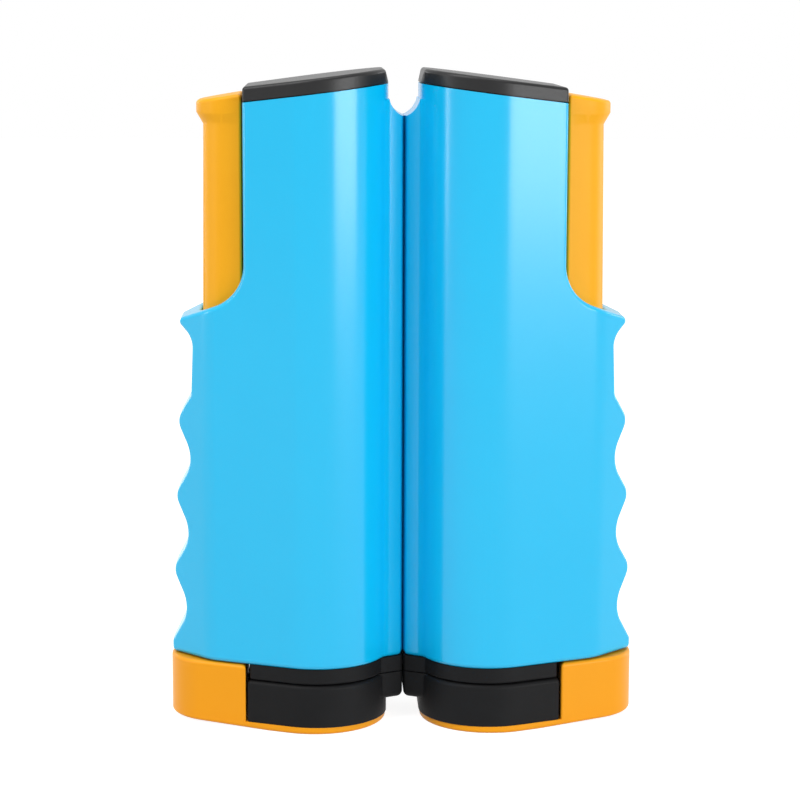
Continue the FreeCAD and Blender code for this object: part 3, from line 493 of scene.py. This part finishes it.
# the net wound on each spool; its turns come to the length, 20 mm less than half of the net's travel
woundSet = {"turns": 12.0, "core": 0.0062, "thickness": 0.00045, "length": 0.78, "steps": 40}
woundTree, sizes = newRecipe("woundRecipe", {
    "Turns": "Float", "Inner": "Float", "Outer": "Float", "Thickness": "Float", "Height": "Float",
    "Foot": "Vector", "Finish": "Material"})
spiral = node(woundTree, "GeometryNodeCurveSpiral", {
    "Resolution": woundSet["steps"], "Rotations": sizes["Turns"], "Start Radius": sizes["Inner"],
    "End Radius": sizes["Outer"], "Height": 0.0})
upright = node(woundTree, "GeometryNodeSetCurveNormal", {"Curve": spiral.outputs[0]}, mode="Z_UP")
strip = node(woundTree, "GeometryNodeCurvePrimitiveQuadrilateral", {
    "Width": sizes["Thickness"], "Height": sizes["Height"]})
band = swept(woundTree, upright.outputs[0], strip.outputs[0])
closeRecipe(woundTree, stood(woundTree, band, sizes["Foot"]))
for side in posts:
    low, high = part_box(f"{side}_net_roll")
    half = woundSet["thickness"] / 2.0
    roll = grown(f"{side}_wound_net", woundTree, {
        "Turns": woundSet["turns"], "Inner": woundSet["core"] + half,
        "Outer": (high[1] - low[1]) / 2.0 - half, "Thickness": woundSet["thickness"],
        "Height": high[2] - low[2], "Foot": ((low[0] + high[0]) / 2.0, 0.0, (low[2] + high[2]) / 2.0),
        "Finish": paints["netWound"]})
    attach(roll, bodyOf[f"{side}_net_roll"])
    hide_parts(f"{side}_net_roll")
print("net rolls wound")

# the free net is made pulled out, and laid back on its short path between the closed posts
netSet = {"travel": 1.6, "half": 0.0055, "bend": 0.00555, "endX": 0.00923, "endY": -0.00707,
          "cell": 0.0125, "strand": 0.00045, "columns": 130, "rows": 9, "sides": 6, "samples": 240,
          "overlap": 0.0004, "halvings": 40}
slantRun = math.hypot(netSet["endX"] - netSet["bend"], netSet["endY"])
netHalf = netSet["travel"] / 2.0 + netSet["bend"] + slantRun


def laidBack(mesh):
    travel, half, bend = netSet["travel"], netSet["half"], netSet["bend"]
    slope = ((netSet["endX"] - bend) / slantRun, netSet["endY"] / slantRun)
    for vertex in mesh.vertices:
        along, aside, height = vertex.co
        sign = 1.0 if along >= 0.0 else -1.0
        far = abs(along) - travel / 2.0
        if far <= half:  # the blend is undone by halving
            low, high = -half, half
            for _ in range(netSet["halvings"]):
                middle = (low + high) / 2.0
                t = (middle + half) / (2.0 * half)
                if middle + travel * (t * t * (3.0 - 2.0 * t) - 0.5) < along:
                    low = middle
                else:
                    high = middle
            vertex.co = (low, aside, height)
        elif far <= bend:
            vertex.co = (sign * far, aside, height)
        else:
            run = far - bend
            vertex.co = (sign * (bend + run * slope[0]) - aside * slope[1],
                         sign * run * slope[1] + aside * slope[0], height)


netTree, sizes = newRecipe("netRecipe", {
    "Half": "Float", "Cell": "Float", "Strand": "Float", "Columns": "Int", "Rows": "Int",
    "Foot": "Float", "Head": "Float", "Finish": "Material"})
ring = ringOf(netTree, netSet["sides"], sizes["Strand"])
upright = node(netTree, "GeometryNodeCurvePrimitiveLine", {
    "Start": span(netTree, 0.0, 0.0, sizes["Foot"]), "End": span(netTree, 0.0, 0.0, sizes["Head"])})
level = node(netTree, "GeometryNodeCurvePrimitiveLine", {
    "Start": span(netTree, times(netTree, sizes["Half"], -1.0), 0.0, 0.0),
    "End": span(netTree, sizes["Half"], 0.0, 0.0)})
fine = node(netTree, "GeometryNodeResampleCurve", {
    "Curve": level.outputs[0], "Count": netSet["samples"]})
leftmost = times(netTree, times(netTree, sizes["Columns"], sizes["Cell"]), -0.5)
strands = []
for line, count, start, step in (
        (upright, "Columns", span(netTree, leftmost, 0.0, 0.0), span(netTree, sizes["Cell"], 0.0, 0.0)),
        (fine, "Rows", span(netTree, 0.0, 0.0, sizes["Foot"]), span(netTree, 0.0, 0.0, sizes["Cell"]))):
    tube = swept(netTree, line.outputs[0], ring)
    spots = node(netTree, "GeometryNodeMeshLine", {
        "Count": sizes[count], "Start Location": start, "Offset": step})
    strands.append(node(netTree, "GeometryNodeInstanceOnPoints", {
        "Points": spots.outputs[0], "Instance": tube}).outputs[0])
joined = node(netTree, "GeometryNodeJoinGeometry")
for strand in strands:
    netTree.links.new(strand, joined.inputs[0])
closeRecipe(netTree, joined.outputs[0])
knit = grown("net_knit", netTree, {
    "Half": netHalf, "Cell": netSet["cell"], "Strand": netSet["strand"], "Columns": netSet["columns"],
    "Rows": netSet["rows"], "Foot": hemTop - netSet["overlap"], "Head": tapeFoot + netSet["overlap"],
    "Finish": paints["netTwine"]})
laidBack(knit.data)


def joinRings(made, rings):
    for one, other in zip(rings, rings[1:]):
        for index in range(len(one)):
            after = (index + 1) % len(one)
            made.faces.new((one[index], one[after], other[after], other[index]))
    made.faces.new(rings[0][::-1])
    made.faces.new(rings[-1])
    bmesh.ops.recalc_face_normals(made, faces=made.faces)


def meshFrom(name, made):
    mesh = bpy.data.meshes.new(name)
    made.to_mesh(mesh)
    made.free()
    return mesh


# a tape folded over the mesh: rounded along its top, a stitched lip at its foot
rimSet = {"samples": 180, "half": 0.00048, "tapeLip": 0.0014, "hemLip": 0.0008, "foot": 0.7,
          "stitch": 0.82, "crown": 0.6, "lipStart": 0.4, "lipEnd": 1.6}


def foldedRim(low, high, lip):
    half = rimSet["half"]
    foot, stitch, crown = half * rimSet["foot"], half * rimSet["stitch"], half * rimSet["crown"]
    start, end = low + lip * rimSet["lipStart"], low + lip * rimSet["lipEnd"]
    return [(-foot, low), (foot, low), (half, start), (stitch, low + lip), (half, end), (half, high - half),
            (crown, high), (-crown, high), (-half, high - half), (-half, end), (-stitch, low + lip),
            (-half, start)]


def edging(name, rim, finish):
    made = bmesh.new()
    rings = []
    for index in range(rimSet["samples"] + 1):
        along = netHalf * (2.0 * index / rimSet["samples"] - 1.0)
        rings.append([made.verts.new((along, aside, height)) for aside, height in rim])
    joinRings(made, rings)
    mesh = meshFrom(name, made)
    laidBack(mesh)
    mesh.materials.append(paints[finish])
    return placed(name, mesh)


tapeBox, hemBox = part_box("net_top_tape"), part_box("net_bottom_cord")
tape = edging("net_tape", foldedRim(tapeBox[0][2], tapeBox[1][2], rimSet["tapeLip"]), "tapeCotton")
hem = edging("net_hem", foldedRim(hemBox[0][2], hemBox[1][2], rimSet["hemLip"]), "hemCotton")
for piece, soft in ((knit, "net_span"), (tape, "net_top_tape"), (hem, "net_bottom_cord")):
    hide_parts(soft)
    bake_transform(piece)
print("net strung")

# the long screws show their heads in the sole
screwSet = {"head": 0.0037, "headTall": 0.0026, "shank": 0.00195, "tip": 0.0004, "tipTall": 0.002,
            "sides": 40, "footShare": 0.86, "edgeShare": 0.97, "edgeRise": 0.0003, "sideRise": 0.0008,
            "shoulderShare": 0.95, "shoulderDrop": 0.0002}
crossSet = {"slot": 0.0011, "reach": 0.0045, "deep": 0.0015, "below": 0.0005, "taper": 0.0002}


def boxMesh(made, low, high, taper):
    points = []
    for z, shrink in ((low[2], 0.0), (high[2], taper)):
        points.append([made.verts.new((x, y, z)) for x, y in (
            (low[0] + shrink, low[1] + shrink), (high[0] - shrink, low[1] + shrink),
            (high[0] - shrink, high[1] - shrink), (low[0] + shrink, high[1] - shrink))])
    bottom, top = points
    made.faces.new(bottom[::-1])
    made.faces.new(top)
    for index in range(4):
        after = (index + 1) % 4
        made.faces.new((bottom[index], bottom[after], top[after], top[index]))
    bmesh.ops.recalc_face_normals(made, faces=made.faces)


def longScrew(side):
    low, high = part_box(f"{side}_arm_screw")
    x, r, shank = (low[0] + high[0]) / 2.0, screwSet["head"], screwSet["shank"]
    shoulder, sides = low[2] + screwSet["headTall"], screwSet["sides"]
    outline = [
        (r * screwSet["footShare"], low[2]), (r * screwSet["edgeShare"], low[2] + screwSet["edgeRise"]),
        (r, low[2] + screwSet["sideRise"]), (r, shoulder - screwSet["shoulderDrop"]),
        (r * screwSet["shoulderShare"], shoulder), (shank, shoulder),
        (shank, high[2] - screwSet["tipTall"]), (screwSet["tip"], high[2])]
    made = bmesh.new()
    rings = []
    for radius, z in outline:
        rings.append([made.verts.new((x + radius * math.cos(turn), radius * math.sin(turn), z))
                      for turn in (math.tau * step / sides for step in range(sides))])
    joinRings(made, rings)
    piece = placed(f"{side}_long_screw", meshFrom(f"{side}_long_screw", made))
    cutters = []
    for across in (False, True):
        arm, wide = crossSet["reach"] / 2.0, crossSet["slot"] / 2.0
        w, t = (wide, arm) if across else (arm, wide)
        made = bmesh.new()
        boxMesh(made, (x - w, -t, low[2] - crossSet["below"]), (x + w, t, low[2] + crossSet["deep"]),
                crossSet["taper"])
        cutter = placed("crossMould", meshFrom("crossMould", made))
        cutters.append(cutter)
        cut = piece.modifiers.new("cross", "BOOLEAN")
        cut.operation = "DIFFERENCE"
        cut.solver = "EXACT"
        cut.object = cutter
    ready = piece.evaluated_get(bpy.context.evaluated_depsgraph_get())
    cutMesh = bpy.data.meshes.new_from_object(ready)
    piece.modifiers.clear()
    piece.data = cutMesh
    for cutter in cutters:
        bpy.data.objects.remove(cutter)
    for face in cutMesh.polygons:
        face.use_smooth = False
    cutMesh.materials.clear()
    cutMesh.materials.append(paints["zincSteel"])
    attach(piece, bodyOf[f"{side}_arm_screw"])
    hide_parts(f"{side}_arm_screw")


for side in posts:
    longScrew(side)
print("long screws turned")
